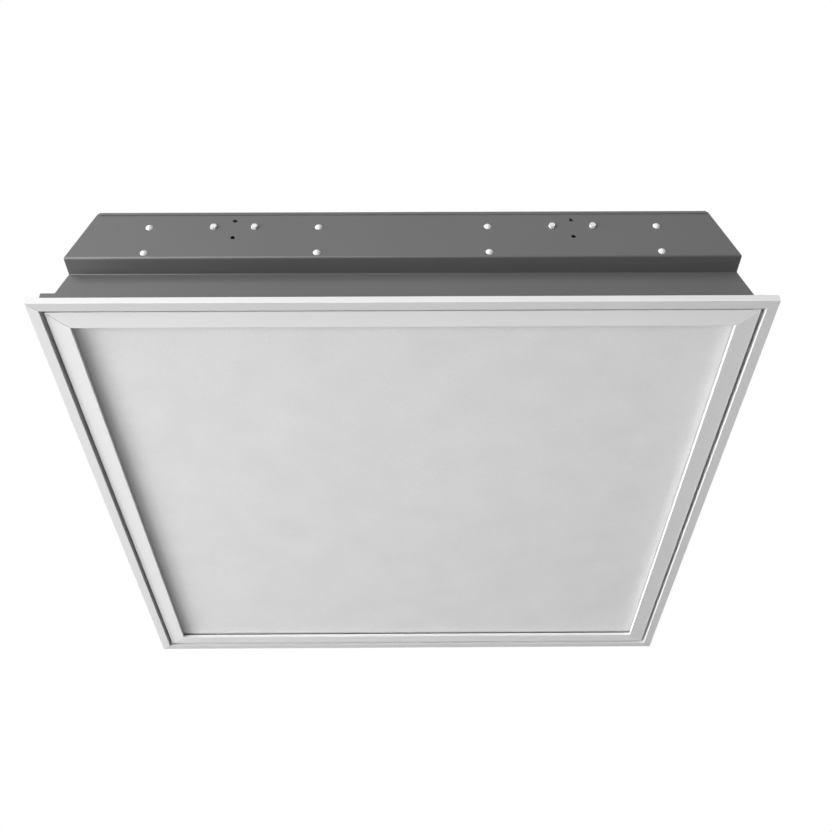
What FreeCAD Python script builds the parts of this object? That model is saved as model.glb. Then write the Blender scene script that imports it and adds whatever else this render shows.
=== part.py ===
"""Recessed troffer light for a 600 mm ceiling grid.

Millimetres, +Z up. The origin is the centre of the rim's underside, which rests on the
ceiling T-bars. X runs across the lamps and Y along them. The lens door faces down.
Heights and half widths are built up from the rim, so each size below can be set by itself.
"""
import FreeCAD
import Part
import math
import os

V = FreeCAD.Vector
ABOVE = V(0, 0, 1)
ALONG_X = V(1, 0, 0)
ALONG_Y = V(0, 1, 0)

# ---- rim: four mitred lengths that show below the ceiling ----
rim_size = 595.0            # outside, both ways
rim_face = 8.6              # width of the lower face
rim_wall = 1.2
rim_lip = 6.5               # height of the outer wall
rim_web_width = 4.5         # web on the inner leg that the housing's flange sits on
mitre_gap = 0.15            # each length stops this far from the mitre plane
corner_key_leg = 13.0
corner_key_rise = 1.1       # how far the key shows above the outer wall
corner_key_wall = 1.0
rim_rivet_spread = 160.0
rim_rivet_head_radius = 1.5
rim_rivet_head_height = 1.0
rim_rivet_shank_radius = 0.9

# ---- door frame ----
groove_width = 3.3          # between rim and door frame
door_face = 16.8            # width of the face that shows
door_inner_z = 0.8          # lowest edge, beside the diffuser
door_slope_rise = 1.0       # the face rises this much towards the groove
door_lip_height = 3.2       # wall that shows round the diffuser
door_depth = 7.8            # from the diffuser's seat to the top
door_wall = 1.4
door_hem = 0.8
door_hem_width = 4.2
gasket_inset = 2.0
gasket_width = 6.0
gasket_height = 2.0
diffuser_inset = 6.2        # diffuser's edge, in from the frame's outside
diffuser_thickness = 2.0
clip_sheet = 0.6
clip_length = 20.0
clip_place = 140.0
clip_foot_start = 2.2       # clip's foot, out from the frame's inner edge
clip_foot_width = 5.5
clip_hem_reach = 2.4        # how far the clip lies under the hem
key_leg = 30.0
key_width = 10.0
key_sheet = 1.4

# ---- housing ----
sheet = 0.8
bend_radius = 0.7           # inside of each bend in sheet steel
head_room = 1.6             # between door frame and ledge
leg_room = 0.1              # between the rim's inner leg and the ledge's bend
skirt_room = 0.1            # the sloping side starts this far under the ledge
flange_drop = 1.2           # bottom flange, below the top of the rim's outer wall
flange_gap = 0.5            # from the flange's edge to the corner keys
side_slope = math.radians(18.4)
ledge_width = 12.5          # from skirt to neck
neck_height = 38.8          # from the ledge's top to the underside of the step
upper_height = 56.0         # from the step to the top
end_lip_height = 3.8        # lip turned down over each end
end_lip_inset = 1.2         # end of that lip, in from the sloping side
end_flange_width = 12.0     # end plate's side flange, behind the sloping side
side_rivet_rise = 13.0      # from the step to the low rivet, and from the high one to the top

# ---- lamps ----
lamp_spacing = 142.0
lamp_count = 4
lamp_rise = 21.4            # lamp axis above the step
lamp_end_room = 21.4        # from end cap to end wall: leaves 549 mm between the lamps' ends
tube_radius = 7.8
tube_wall = 0.7
cap_wall = 0.3
cap_length = 12.0
pin_radius = 1.18
pin_length = 7.2
pin_spacing = 4.75
rotor_radius = 5.5
rotor_clearance = 0.3
rotor_wall = 1.4            # rotor left behind the pins' slot
rotor_set_back = 0.5        # gap between end cap and rotor
slot_clearance = 0.25
holder_width = 18.0
holder_height = 24.0
holder_boss_radius = 8.6
holder_boss_depth = 9.4
holder_gap = 0.8            # gap between end cap and holder
bracket_sheet = 1.0
bracket_width = 24.0
bracket_margin = 6.5        # bracket beyond its rivets
bracket_shelf = 14.0        # foot of the bracket, standing on the step
rivet_pitch = 31.2          # the two rivets of one bracket
rivet_head_radius = 3.25
rivet_head_height = 1.8
rivet_shank_radius = 1.6

# ---- hanger points on the end plates, midway between two lamps ----
hanger_rise = 34.8          # middle of the hole pair above the step
hanger_hole_radius = 2.0
hanger_hole_pitch = 20.6
hanger_screw_rise = 37.0
hanger_screw_spread = 34.2
screw_flat = 4.8            # hexagon across flats
screw_head = 1.5
screw_washer_radius = 2.9
screw_washer = 0.5
gusset_sheet = 1.2
gusset_width = 50.0
gusset_rise = 17.0
gusset_height = 35.0

# ---- door hinge, catches and hold-down tabs ----
hinge_place = 200.0
hinge_inset = 3.1           # pin, in from the door frame's outside
hinge_rise = 3.0            # pin above the diffuser's seat
hinge_pin_radius = 1.25
hinge_pin_clearance = 0.05
hinge_pin_reach = 0.6       # pin beyond each ear
tongue_sheet = 2.5
tongue_half = 2.0
tongue_gap = 0.35
ear_sheet = 1.5
hinge_foot_sheet = 1.5
hinge_foot_length = 18.0
hinge_foot_width = 8.0
hinge_foot_gap = 0.2        # from the bracket's foot to the neck's bend
hinge_rivet_offset = 5.8
catch_place = 170.0
catch_width = 16.0
catch_sheet = 0.5
catch_bite = 1.2            # reach of the bulge under the door's hem
catch_rivet_rise = 6.4      # above the ledge
catch_margin = 4.4          # leaf above its rivet
tab_sheet = 1.2
tab_rise = 3.4              # above the ledge
tab_height = 14.4
tab_length = 46.0
tab_travel = 14.0
tab_tip_inset = 0.2         # tip of a tab that is out, in from the rim's outside
tab_rivet_rise = 3.2        # above the tab's lower edge
tab_rivet_inset = 29.3      # in from the tip of a tab that is out
tab_slot_clearance = 0.3
tab_shoulder = 0.3          # side play between tab and rivet head

# ---- inside ----
tray_sheet = 0.6
tray_end_gap = 13.6         # from neck to tray
tray_foot_rise = 5.8        # above the ledge
tray_drop = 10.0            # flat of the tray below the housing's top
tray_side_drop = 11.0       # the tray leaves the side this far below its flat
tray_shoulder_inset = 26.0
tray_inner = 50.0
ridge_half = 43.0
ridge_drop = 11.0
cover_floor_half = 38.0
cover_depth = 17.0
cover_flange = 12.0
ballast_width = 30.0
ballast_height = 21.0
ballast_tab = 12.0
ballast_tab_sheet = 1.2
ballast_end_room = 14.0     # from the ballast to the trays' far end
ballast_offset = 154.0      # these four are measured from the trays' near end
block_offset = 99.0
grommet_offset = 64.0
bridge_offset = 32.0
block_length = 40.0
block_width = 24.0
block_height = 17.0
block_well = 8.0
block_ways = 5
entry_depth = 6.0
bridge_width = 16.0
bridge_half = 27.0
bridge_foot = 12.0
bridge_sheet = 1.2
cover_screw_radius = 2.0
cover_screw_head_radius = 3.8
cover_screw_head = 2.4
cover_screw_reach = 2.4
roof_screw_reach = 1.2
recess_share = 0.5          # cross recess, as a share of the head
fillet_share = 0.4
grommet_x = 24.0
cable_radius = 5.0
grommet_radius = 10.0
grommet_groove_radius = 8.0
grommet_height = 6.0
earth_x = -24.0
earth_lug_sheet = 1.0
earth_lug_radius = 5.0
lead_radius = 1.5
loom_radius = 2.0
loom_bend = 8.0
loom_gap = 1.0              # between the loom and the gear bridges' feet
loom_exit = 52.0            # from each end of the ballast to its loom
loom_drop = 5.4             # loom's axis below the housing's top

# ---- places that follow from the sizes above ----
rim_half = rim_size / 2
rim_inner_half = rim_half - rim_face
door_outer_half = rim_inner_half - groove_width
door_inner_half = door_outer_half - door_face
door_outer_z = door_inner_z + door_slope_rise
door_seat_z = door_inner_z + door_lip_height
door_top_z = door_seat_z + door_depth
door_hem_z = door_top_z - door_hem
door_hem_inner = door_outer_half - door_hem_width
diffuser_half = door_outer_half - diffuser_inset
diffuser_z = door_seat_z + gasket_height
diffuser_top_z = diffuser_z + diffuser_thickness
hinge_y = door_outer_half - hinge_inset
hinge_z = door_seat_z + hinge_rise

ledge_z = door_top_z + head_room
ledge_top = ledge_z + sheet
rim_leg_top = ledge_z - bend_radius - leg_room
flange_z = rim_lip - flange_drop
flange_top = flange_z + sheet
flange_half = rim_half - rim_wall - corner_key_wall - flange_gap
skirt_inner = rim_inner_half + rim_wall         # the skirt stands against the rim's inner leg
skirt_half = skirt_inner + sheet
rim_rivet_half = (skirt_half + bend_radius + flange_half) / 2
neck_half = skirt_half - ledge_width
neck_inner = neck_half - sheet
hinge_foot_y = neck_half + bend_radius + hinge_foot_gap + hinge_foot_width / 2
step_z = ledge_top + neck_height
top_z = step_z + upper_height
under_top = top_z - sheet                       # underside of the top sheet
wall_half = rim_half - sheet                    # outer face of the end plate's upper wall
wall_inner = wall_half - sheet
end_plate_top = under_top - bend_radius         # the plate ends under the bend of the top's lip
side_foot_z = ledge_z - skirt_room              # the skirt turns into the sloping side
side_rise = math.tan(side_slope)
side_skin = sheet / math.cos(side_slope)        # side sheet measured across, at one height

lamp_z = step_z + lamp_rise
cap_face = wall_inner - lamp_end_room
cap_radius = tube_radius + cap_wall
lamp_places = [lamp_spacing * (k - (lamp_count - 1) / 2) for k in range(lamp_count)]
hanger_x = lamp_spacing
hanger_z = step_z + hanger_rise
hanger_screw_z = step_z + hanger_screw_rise
tab_bottom = ledge_top + tab_rise
tab_top = tab_bottom + tab_height
tab_rivet_z = tab_bottom + tab_rivet_rise
tab_out_half = rim_half - tab_tip_inset
tab_rivet_x = tab_out_half - tab_rivet_inset
catch_rivet_z = ledge_top + catch_rivet_rise

tray_half_length = neck_inner - tray_end_gap
tray_top_z = top_z - tray_drop
tray_foot_z = ledge_top + tray_foot_rise
tray_bend_z = tray_top_z - tray_side_drop
cover_floor_z = tray_top_z - cover_depth
bridge_places = (bridge_offset - tray_half_length, tray_half_length - bridge_offset)
ballast_start = ballast_offset - tray_half_length
ballast_length = 2 * tray_half_length - ballast_offset - ballast_end_room
block_y = block_offset - tray_half_length
grommet_y = grommet_offset - tray_half_length
loom_z = top_z - loom_drop
loom_x = bridge_half + bridge_foot + loom_radius + loom_gap


def side_x(z, inset=0.0):
    """Half width of the sloping side at a height; inset counts across the sheet."""
    return skirt_half - side_rise * (z - side_foot_z) - inset


# ---- shapes that repeat ----
def box(x0, x1, y0, y1, z0, z1):
    return Part.makeBox(x1 - x0, y1 - y0, z1 - z0, V(x0, y0, z0))


def rod(radius, length, foot, way):
    return Part.makeCylinder(radius, length, foot, way)


def prism_along_x(profile, x0, x1):
    return outline_face(profile, lambda y, z: V(x0, y, z)).extrude(V(x1 - x0, 0, 0))


def prism_along_y(profile, y0, y1):
    return outline_face(profile, lambda x, z: V(x, y0, z)).extrude(V(0, y1 - y0, 0))


def outline_face(profile, place):
    """Face inside a closed outline; a corner is (a, b), or (a, b, radius) where it is rounded."""
    edges = []
    corners = [(place(a, b), radius[0] if radius else 0.0) for a, b, *radius in profile]
    runs = []
    for k, (corner, radius) in enumerate(corners):
        into = (corner - corners[k - 1][0]).normalize()
        out = (corners[(k + 1) % len(corners)][0] - corner).normalize()
        turn = into.getAngle(out)
        back = radius * math.tan(turn / 2)
        start, end = corner - into * back, corner + out * back
        runs.append((start, end))
        if back > 0:
            middle = corner + (out - into).normalize() * (radius / math.cos(turn / 2) - radius)
            edges.append(Part.Arc(start, middle, end).toShape())
    for k, (start, end) in enumerate(runs):
        edges.append(Part.LineSegment(runs[k - 1][1], start).toShape())
    return Part.Face(Part.Wire(Part.__sortEdges__(edges)))


def folded(path, thickness, inside=0.0):
    """Outline of a folded sheet: the path, and the path moved by the thickness to its left.

    Each bend is rounded by the inside radius on its inner side, and by that radius and the
    sheet's thickness together on its outer side.
    """
    moved = []
    kept = []
    for k, (a, b) in enumerate(path):
        before = path[max(k - 1, 0)]
        after = path[min(k + 1, len(path) - 1)]
        ways = [(q[0] - p[0], q[1] - p[1]) for p, q in ((before, (a, b)), ((a, b), after)) if p != q]
        normals = [(-v / math.hypot(u, v), u / math.hypot(u, v)) for u, v in ways]
        first, last = normals[0], normals[-1]
        share = thickness / (1 + first[0] * last[0] + first[1] * last[1])
        lean = (first[0] * last[1] - first[1] * last[0]) * thickness
        outer = inside + abs(thickness) if inside and lean else 0.0
        inner = inside if lean else 0.0
        near, away = (outer, inner) if lean > 0 else (inner, outer)
        kept.append((a, b, near))
        moved.append((a + share * (first[0] + last[0]), b + share * (first[1] + last[1]), away))
    return kept + moved[::-1]


def mirrored(shape):
    return shape.mirror(V(0, 0, 0), ALONG_X)


def both_sides(shape):
    return [shape, mirrored(shape)]


def to_far(shape):
    """The same thing at the other end: half a turn about the upright axis."""
    return turned(shape, 2)


def turned(shape, quarters):
    copy = shape.copy()
    copy.rotate(V(0, 0, 0), ABOVE, 90 * quarters)
    return copy


def joined(shapes):
    whole = shapes[0].fuse(shapes[1:]) if len(shapes) > 1 else shapes[0]
    return whole.removeSplitter()


def mitred_length(profile, quarters, reach):
    """One length of a square frame. The profile is (distance from the centre, height)."""
    rail = prism_along_x(profile, -reach, reach)
    back = mitre_gap * math.sqrt(2)
    corners = [V(0, back, -1), V(reach, reach + back, -1), V(-reach, reach + back, -1)]
    wedge = Part.Face(Part.makePolygon(corners + corners[:1])).extrude(V(0, 0, 2 * top_z))
    return turned(rail.common(wedge), quarters)


def domed_rivet(foot, way, grip, head_radius=rivet_head_radius, head_height=rivet_head_height,
                shank_radius=rivet_shank_radius):
    """Head on the foot plane, pointing along way; the shank runs back through the sheets."""
    bulge = (head_radius ** 2 + head_height ** 2) / (2 * head_height)
    ball = Part.makeSphere(bulge, foot - way * (bulge - head_height))
    slab = rod(head_radius + 1, head_height + 1, foot, way)
    shank = rod(shank_radius, grip, foot - way * grip, way)
    return joined([ball.common(slab), shank])


def hex_screw(foot, way):
    """Hexagon head on a washer face, standing on the foot plane, with its stem behind."""
    corner = screw_flat / math.sqrt(3)
    other = way.cross(ALONG_X)
    top = foot + way * screw_washer
    turns = [math.radians(60 * k) for k in range(6)]
    ring = [top + ALONG_X * (corner * math.cos(t)) + other * (corner * math.sin(t)) for t in turns]
    hexagon = Part.Face(Part.makePolygon(ring + ring[:1])).extrude(way * screw_head)
    washer = rod(screw_washer_radius, screw_washer, foot, way)
    grip = sheet + gusset_sheet + bracket_sheet
    stem = rod(rivet_shank_radius, grip, foot - way * grip, way)
    return joined([hexagon, washer, stem])


# ---- rim ----
def rim_length(quarters):
    rail = mitred_length(rim_profile(), quarters, rim_size)
    return rail.cut(rim_rivet_shanks())


def rim_profile():
    """Channel for the housing's flange, with a taller leg beside the groove."""
    inner, outer = rim_inner_half, rim_half
    leg = inner + rim_wall
    web = leg + rim_web_width
    return [(outer, 0.0), (outer, rim_lip), (outer - rim_wall, rim_lip), (outer - rim_wall, rim_wall),
            (leg, rim_wall), (leg, flange_z - rim_wall), (web, flange_z - rim_wall), (web, flange_z),
            (leg, flange_z), (leg, rim_leg_top), (inner, rim_leg_top), (inner, 0.0)]


def rim_corner_keys():
    outer = rim_half - rim_wall
    profile = [(outer, rim_wall), (outer, rim_lip + corner_key_rise),
               (outer - corner_key_wall, rim_lip + corner_key_rise), (outer - corner_key_wall, rim_wall)]
    near_leg = prism_along_x([(-d, z) for d, z in profile], -outer, -outer + corner_key_leg)
    side_leg = prism_along_y([(-d, z) for d, z in profile], -outer, -outer + corner_key_leg)
    key = joined([near_leg, side_leg])
    return [turned(key, k) for k in range(4)]


def rim_rivet_places():
    along = (-rim_rivet_spread, 0.0, rim_rivet_spread)
    return [turned(Part.Vertex(V(a, rim_rivet_half, flange_top)), k).Point for k in range(4) for a in along]


def rim_rivet_shanks():
    depth = sheet + rim_wall
    return [rod(rim_rivet_shank_radius, 2 * depth, p - ABOVE * depth, ABOVE) for p in rim_rivet_places()]


def rim_rivets():
    """Through the housing's flange into the rim's web, heads on top."""
    return [domed_rivet(p, ABOVE, sheet + rim_wall, rim_rivet_head_radius, rim_rivet_head_height,
                        rim_rivet_shank_radius) for p in rim_rivet_places()]


def hinge_rivet_places():
    return [V(x + side * hinge_rivet_offset, hinge_foot_y, ledge_top + hinge_foot_sheet)
            for x in (-hinge_place, hinge_place) for side in (-1, 1)]


def hinge_rivet_shanks():
    depth = sheet + hinge_foot_sheet
    return [rod(rivet_shank_radius, 2 * depth, p - ABOVE * depth, ABOVE) for p in hinge_rivet_places()]


def hinge_rivets():
    return [domed_rivet(p, ABOVE, sheet + hinge_foot_sheet) for p in hinge_rivet_places()]


# ---- housing ----
def housing_shell():
    """Top, sloping long sides, upright skirts and bottom flanges in one folded sheet."""
    right = [(side_x(top_z), top_z), (skirt_half, side_foot_z), (skirt_half, flange_top)]
    right.append((flange_half, flange_top))
    outside = [(-x, z) for x, z in right[::-1]] + right
    shell = prism_along_y(folded(outside, -sheet, bend_radius), -wall_inner, wall_inner)
    lip_half = side_x(top_z) - end_lip_inset
    near_lip = [(-rim_half, top_z - end_lip_height), (-rim_half, top_z)]
    path = near_lip + [(-y, z) for y, z in near_lip[::-1]]
    cover = prism_along_x(folded(path, -sheet, bend_radius), -lip_half, lip_half)
    shell = joined([shell, cover])
    step_bend = box(-rim_half, rim_half, -wall_inner, -wall_inner + bend_radius, step_z,
                    step_z + sheet + bend_radius)
    ledge_bend = box(-rim_half, rim_half, -skirt_inner, -skirt_inner + bend_radius,
                     ledge_z - bend_radius, ledge_z)
    below_step = box(-rim_half, rim_half, -rim_half, -neck_inner, ledge_z, step_z + sheet)
    beyond_skirt = box(-rim_half, rim_half, -rim_half, -skirt_inner, 0, ledge_z)
    near_cuts = [below_step, beyond_skirt, step_bend, ledge_bend]
    cuts = near_cuts + [to_far(one) for one in near_cuts]
    cuts += tab_slots() + side_rivet_shanks() + rim_rivet_shanks()
    cuts.append(rod(grommet_groove_radius, 4 * sheet, V(grommet_x, grommet_y, under_top - sheet), ABOVE))
    cuts += [rod(cover_screw_radius, 4 * sheet, V(x, y, under_top - sheet), ABOVE)
             for x, y in roof_screw_places()]
    return shell.cut(cuts)


def tab_slots():
    """Room in the sloping sides, beside each neck, for the hold-down tabs."""
    depth = tab_sheet + tab_shoulder + tab_slot_clearance
    slot = box(-rim_half, -tab_rivet_x, -neck_inner, -neck_inner + depth, tab_bottom - tab_slot_clearance,
               tab_top + tab_slot_clearance)
    near = both_sides(slot)
    return near + [to_far(one) for one in near]


def end_plate_near():
    profile = [(flange_half, flange_top), (skirt_half, flange_top), (skirt_half, ledge_top),
               (neck_half, ledge_top), (neck_half, step_z), (wall_half, step_z), (wall_half, end_plate_top)]
    sheet_profile = [(-d, z, r) for d, z, r in folded(profile, sheet, bend_radius)]
    plate = prism_along_x(sheet_profile, -rim_half, rim_half)
    outline = [(flange_half, 0), (flange_half, flange_top), (skirt_half, flange_top)]
    outline += [(skirt_half, side_foot_z), (side_x(end_plate_top), end_plate_top)]
    outline = outline + [(-x, z) for x, z in outline[::-1]]
    plate = plate.common(prism_along_y(outline, -rim_half, 0))
    low, high = step_z + 4 * sheet, under_top - 3 * sheet
    wing = [(side_x(low, side_skin), low), (side_x(high, side_skin), high),
            (side_x(high, 2 * side_skin), high), (side_x(low, 2 * side_skin), low)]
    wing = prism_along_y(wing, -wall_inner, -wall_inner + end_flange_width)
    plate = joined([plate] + both_sides(wing))
    places = [(x, -rim_half, z) for x in lamp_places for z in bracket_rivet_heights()]
    places += [(x, -rim_half, hanger_screw_z) for x in hanger_screw_places()]
    places += [(x, -neck_half - sheet, tab_rivet_z) for x in (-tab_rivet_x, tab_rivet_x)]
    places += [(x, -neck_half - sheet, catch_rivet_z) for x in (-catch_place, catch_place)]
    shanks = hanger_holes()
    shanks += [rod(rivet_shank_radius, 6 * sheet, V(*place), ALONG_Y) for place in places]
    return plate.cut(shanks + side_rivet_shanks() + rim_rivet_shanks())


def end_plate_far():
    """As the near plate, with slots in its ledge for the hinge tongues and holes for their rivets."""
    half_x = tongue_sheet / 2 + tongue_gap
    half_y = tongue_half + tongue_gap
    low, high = ledge_z - sheet, ledge_top + sheet
    slots = [box(x - half_x, x + half_x, hinge_y - half_y, hinge_y + half_y, low, high)
             for x in (-hinge_place, hinge_place)]
    return to_far(end_plate_near()).cut(slots + hinge_rivet_shanks())


def bracket_rivet_heights():
    return (lamp_z - rivet_pitch / 2, lamp_z + rivet_pitch / 2)


def hanger_screw_places():
    half = hanger_screw_spread / 2
    return [side * hanger_x + off for side in (-1, 1) for off in (-half, half)]


def hanger_holes():
    depth = 4 * sheet + gusset_sheet
    return [rod(hanger_hole_radius, depth, V(side * hanger_x, -rim_half, hanger_z + off), ALONG_Y)
            for side in (-1, 1) for off in (-hanger_hole_pitch / 2, hanger_hole_pitch / 2)]


def side_rivet_points():
    """On the sloping sides, over the end plates' side flanges, with the way that each faces."""
    way = V(math.cos(side_slope), 0, math.sin(side_slope))
    place = wall_inner - end_flange_width / 2
    heights = (step_z + side_rivet_rise, under_top - side_rivet_rise)
    right = [(V(side_x(z), y, z), way) for y in (-place, place) for z in heights]
    left = [(V(-p.x, p.y, p.z), V(-way.x, 0, way.z)) for p, way in right]
    return right + left


def side_rivet_shanks():
    return [rod(rivet_shank_radius, 6 * sheet, p - way * 3 * sheet, way) for p, way in side_rivet_points()]


def side_rivets():
    return [domed_rivet(p, way, 2 * sheet) for p, way in side_rivet_points()]


def bracket_rivets():
    grip = sheet + bracket_sheet
    near = [domed_rivet(V(x, -wall_half, z), -ALONG_Y, grip)
            for x in lamp_places for z in bracket_rivet_heights()]
    return near + [to_far(r) for r in near]


def hanger_screws():
    near = [hex_screw(V(x, -wall_half, hanger_screw_z), -ALONG_Y) for x in hanger_screw_places()]
    return near + [to_far(s) for s in near]


def hanger_gussets():
    plates = []
    holes = hanger_holes()
    holes += [rod(rivet_shank_radius, 4 * sheet, V(x, -wall_half, hanger_screw_z), ALONG_Y)
              for x in hanger_screw_places()]
    for side in (-1, 1):
        middle = side * hanger_x
        low = step_z + gusset_rise
        plate = box(middle - gusset_width / 2, middle + gusset_width / 2, -wall_inner,
                    -wall_inner + gusset_sheet, low, low + gusset_height)
        plates.append(plate.cut(holes))
    return plates + [to_far(p) for p in plates]


def hold_down_tabs():
    """Slide out over the T-bars; only the near left one is out at rest."""
    slot_half = rivet_shank_radius + tab_slot_clearance
    back = -neck_inner + tab_shoulder / 2
    tab = box(-tab_out_half, -tab_out_half + tab_length, back, back + tab_sheet, tab_bottom, tab_top)
    first, last = -tab_rivet_x - tab_travel, -tab_rivet_x
    slot = [box(first, last, back - sheet, back + 2 * tab_sheet, tab_rivet_z - slot_half,
                tab_rivet_z + slot_half)]
    slot += [rod(slot_half, 4 * tab_sheet, V(x, back - sheet, tab_rivet_z), ALONG_Y) for x in (first, last)]
    out = tab.cut(slot)
    pushed_in = out.copy()
    pushed_in.translate(V(tab_travel, 0, 0))
    return {"hold_down_tab_near_left": out,
            "hold_down_tab_near_right": mirrored(pushed_in),
            "hold_down_tab_far_right": to_far(pushed_in),
            "hold_down_tab_far_left": mirrored(to_far(pushed_in))}


def hold_down_tab_rivets():
    """Shouldered rivets: the tab slides between the neck and the inner head."""
    grip = sheet + tab_sheet + tab_shoulder
    near = []
    for side in (-1, 1):
        foot = V(side * tab_rivet_x, -neck_half, tab_rivet_z)
        inner_head = rod(rivet_head_radius, sheet, foot + ALONG_Y * grip, ALONG_Y)
        near.append(joined([domed_rivet(foot, -ALONG_Y, grip), inner_head]))
    return near + [to_far(r) for r in near]


# ---- lamps ----
def lamp_tube(x):
    half = cap_face - sheet
    glass = rod(tube_radius, 2 * half, V(x, -half, lamp_z), ALONG_Y)
    bore = rod(tube_radius - tube_wall, 2 * half, V(x, -half, lamp_z), ALONG_Y)
    return glass.cut(bore)


def lamp_caps(x):
    cup = rod(cap_radius, cap_length, V(x, -cap_face, lamp_z), ALONG_Y)
    seat = rod(tube_radius, cap_length, V(x, -cap_face + sheet, lamp_z), ALONG_Y)
    cup = cup.cut(seat)
    pins = [rod(pin_radius, pin_length, V(x + off, -cap_face - pin_length, lamp_z), ALONG_Y)
            for off in (-pin_spacing / 2, pin_spacing / 2)]
    cap = joined([cup] + pins)
    return [cap, mirror_far(cap)]


def mirror_far(shape):
    return shape.mirror(V(0, 0, 0), ALONG_Y)


def rotor_inner_y():
    return -cap_face - rotor_set_back


def rotor_depth():
    return pin_length - rotor_set_back + slot_clearance + rotor_wall


def lamp_rotors(x):
    mouth = rotor_inner_y()
    drum = rod(rotor_radius, rotor_depth(), V(x, mouth - rotor_depth(), lamp_z), ALONG_Y)
    half = pin_radius + slot_clearance
    slot = box(x - rotor_radius, x + rotor_radius, mouth - rotor_depth() + rotor_wall, mouth + sheet,
               lamp_z - half, lamp_z + half)
    drum = drum.cut(slot)
    return [drum, mirror_far(drum)]


def lampholder(x):
    """Body riveted up through its bracket, with a bore for the rotor and an entry slot below."""
    back = -wall_inner + bracket_sheet
    front = -cap_face - holder_gap
    block = box(x - holder_width / 2, x + holder_width / 2, back, front - holder_boss_depth,
                lamp_z - holder_height / 2, lamp_z + holder_height / 2)
    boss = rod(holder_boss_radius, holder_boss_depth, V(x, front - holder_boss_depth, lamp_z), ALONG_Y)
    bore_depth = rotor_depth() + rotor_clearance - (holder_gap - rotor_set_back)
    bore = rod(rotor_radius + rotor_clearance, bore_depth, V(x, front - bore_depth, lamp_z), ALONG_Y)
    entry_half = pin_radius + slot_clearance
    entry = box(x - entry_half, x + entry_half, front - pin_length, front, lamp_z - holder_height, lamp_z)
    return joined([block, boss]).cut([bore, entry])


def lampholder_bracket(x):
    low, high = bracket_rivet_heights()
    foot = step_z + sheet
    path = [(-wall_inner + bracket_shelf, foot), (-wall_inner, foot), (-wall_inner, high + bracket_margin)]
    bracket = prism_along_x(folded(path, -bracket_sheet, bend_radius), x - bracket_width / 2,
                            x + bracket_width / 2)
    holes = [rod(rivet_shank_radius, 4 * sheet, V(x, -wall_half, z), ALONG_Y) for z in (low, high)]
    return bracket.cut(holes)


def near_and_far(make):
    near = [make(x) for x in lamp_places]
    return near, [to_far(one) for one in near]


# ---- inside the housing ----
def reflector_tray():
    """Right-hand tray: up the side, over two lamps with a ridge between, up to the top sheet."""
    skin = side_skin
    path = [(side_x(tray_foot_z, skin), tray_foot_z), (side_x(tray_bend_z, skin), tray_bend_z),
            (side_x(tray_bend_z) - tray_shoulder_inset, tray_top_z),
            (hanger_x + ridge_half, tray_top_z), (hanger_x, tray_top_z - ridge_drop),
            (hanger_x - ridge_half, tray_top_z), (tray_inner, tray_top_z), (tray_inner, under_top)]
    return prism_along_y(folded(path, tray_sheet, bend_radius), -tray_half_length, tray_half_length)


def gear_cover():
    """Lidded channel over the gear; its edges lie under the trays."""
    edge = tray_inner + cover_flange
    high = tray_top_z - tray_sheet
    path = [(-edge, high), (-tray_inner, high), (-cover_floor_half, cover_floor_z),
            (cover_floor_half, cover_floor_z), (tray_inner, high), (edge, high)]
    profile = folded(path, -tray_sheet, bend_radius)
    cover = prism_along_y(profile, -tray_half_length, tray_half_length)
    holes = [rod(cover_screw_radius, cover_floor_z, V(0, y, cover_floor_z / 2), ABOVE) for y in bridge_places]
    return cover.cut(holes)


def gear_bridges():
    """Hat-shaped straps under the top sheet that take the cover's screws."""
    floor = cover_floor_z
    right = [(bridge_half, floor), (bridge_half, under_top - bridge_sheet)]
    right.append((bridge_half + bridge_foot, under_top - bridge_sheet))
    path = [(-x, z) for x, z in right[::-1]] + right
    profile = folded(path, bridge_sheet, bend_radius)
    bridges = []
    for y in bridge_places:
        strap = prism_along_y(profile, y - bridge_width / 2, y + bridge_width / 2)
        hole = rod(cover_screw_radius, floor, V(0, y, floor / 2 + bridge_sheet), ABOVE)
        bridges.append(strap.cut(hole))
    return bridges


def gear_cover_screws():
    reach = tray_sheet + bridge_sheet + cover_screw_reach
    return [round_screw(V(0, y, cover_floor_z - tray_sheet), -ABOVE, reach) for y in bridge_places]


def round_screw(foot, way, shank):
    """Pan head with a cross recess, standing on the foot plane."""
    radius, head = cover_screw_head_radius, cover_screw_head
    top = rod(radius, head, foot, way)
    top = top.makeFillet(head * fillet_share, [rim_edge_of(top, foot + way * head)])
    stem = rod(cover_screw_radius, shank, foot - way * shank, way)
    arm = radius * recess_share
    slit = head * recess_share
    deep = foot + way * (head - slit)
    other = ALONG_X.cross(way)
    crosses = []
    for u, v in ((arm, slit / 2), (slit / 2, arm)):
        ring = [deep + ALONG_X * (a * u) + other * (b * v) for a, b in ((-1, -1), (1, -1), (1, 1), (-1, 1))]
        crosses.append(Part.Face(Part.makePolygon(ring + ring[:1])).extrude(way * head))
    return joined([top, stem]).cut(crosses)


def rim_edge_of(shape, centre):
    return min(shape.Edges, key=lambda e: (e.CenterOfMass - centre).Length)


def roof_screw_places():
    ends = [ballast_start + ballast_tab / 2, ballast_start + ballast_length - ballast_tab / 2]
    return [(0.0, y) for y in ends] + [(0.0, block_y), (earth_x, grommet_y)]


def ballast():
    """Flat metal case with a screw tab at each end."""
    start, end = ballast_start, ballast_start + ballast_length
    case = box(-ballast_width / 2, ballast_width / 2, start + ballast_tab, end - ballast_tab,
               under_top - ballast_height, under_top)
    tabs = box(-ballast_width / 2, ballast_width / 2, start, end, under_top - ballast_tab_sheet, under_top)
    holes = [rod(cover_screw_radius, ballast_height, V(x, y, under_top - ballast_height), ABOVE)
             for x, y in roof_screw_places()[:2]]
    return joined([case, tabs]).cut(holes)


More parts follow.
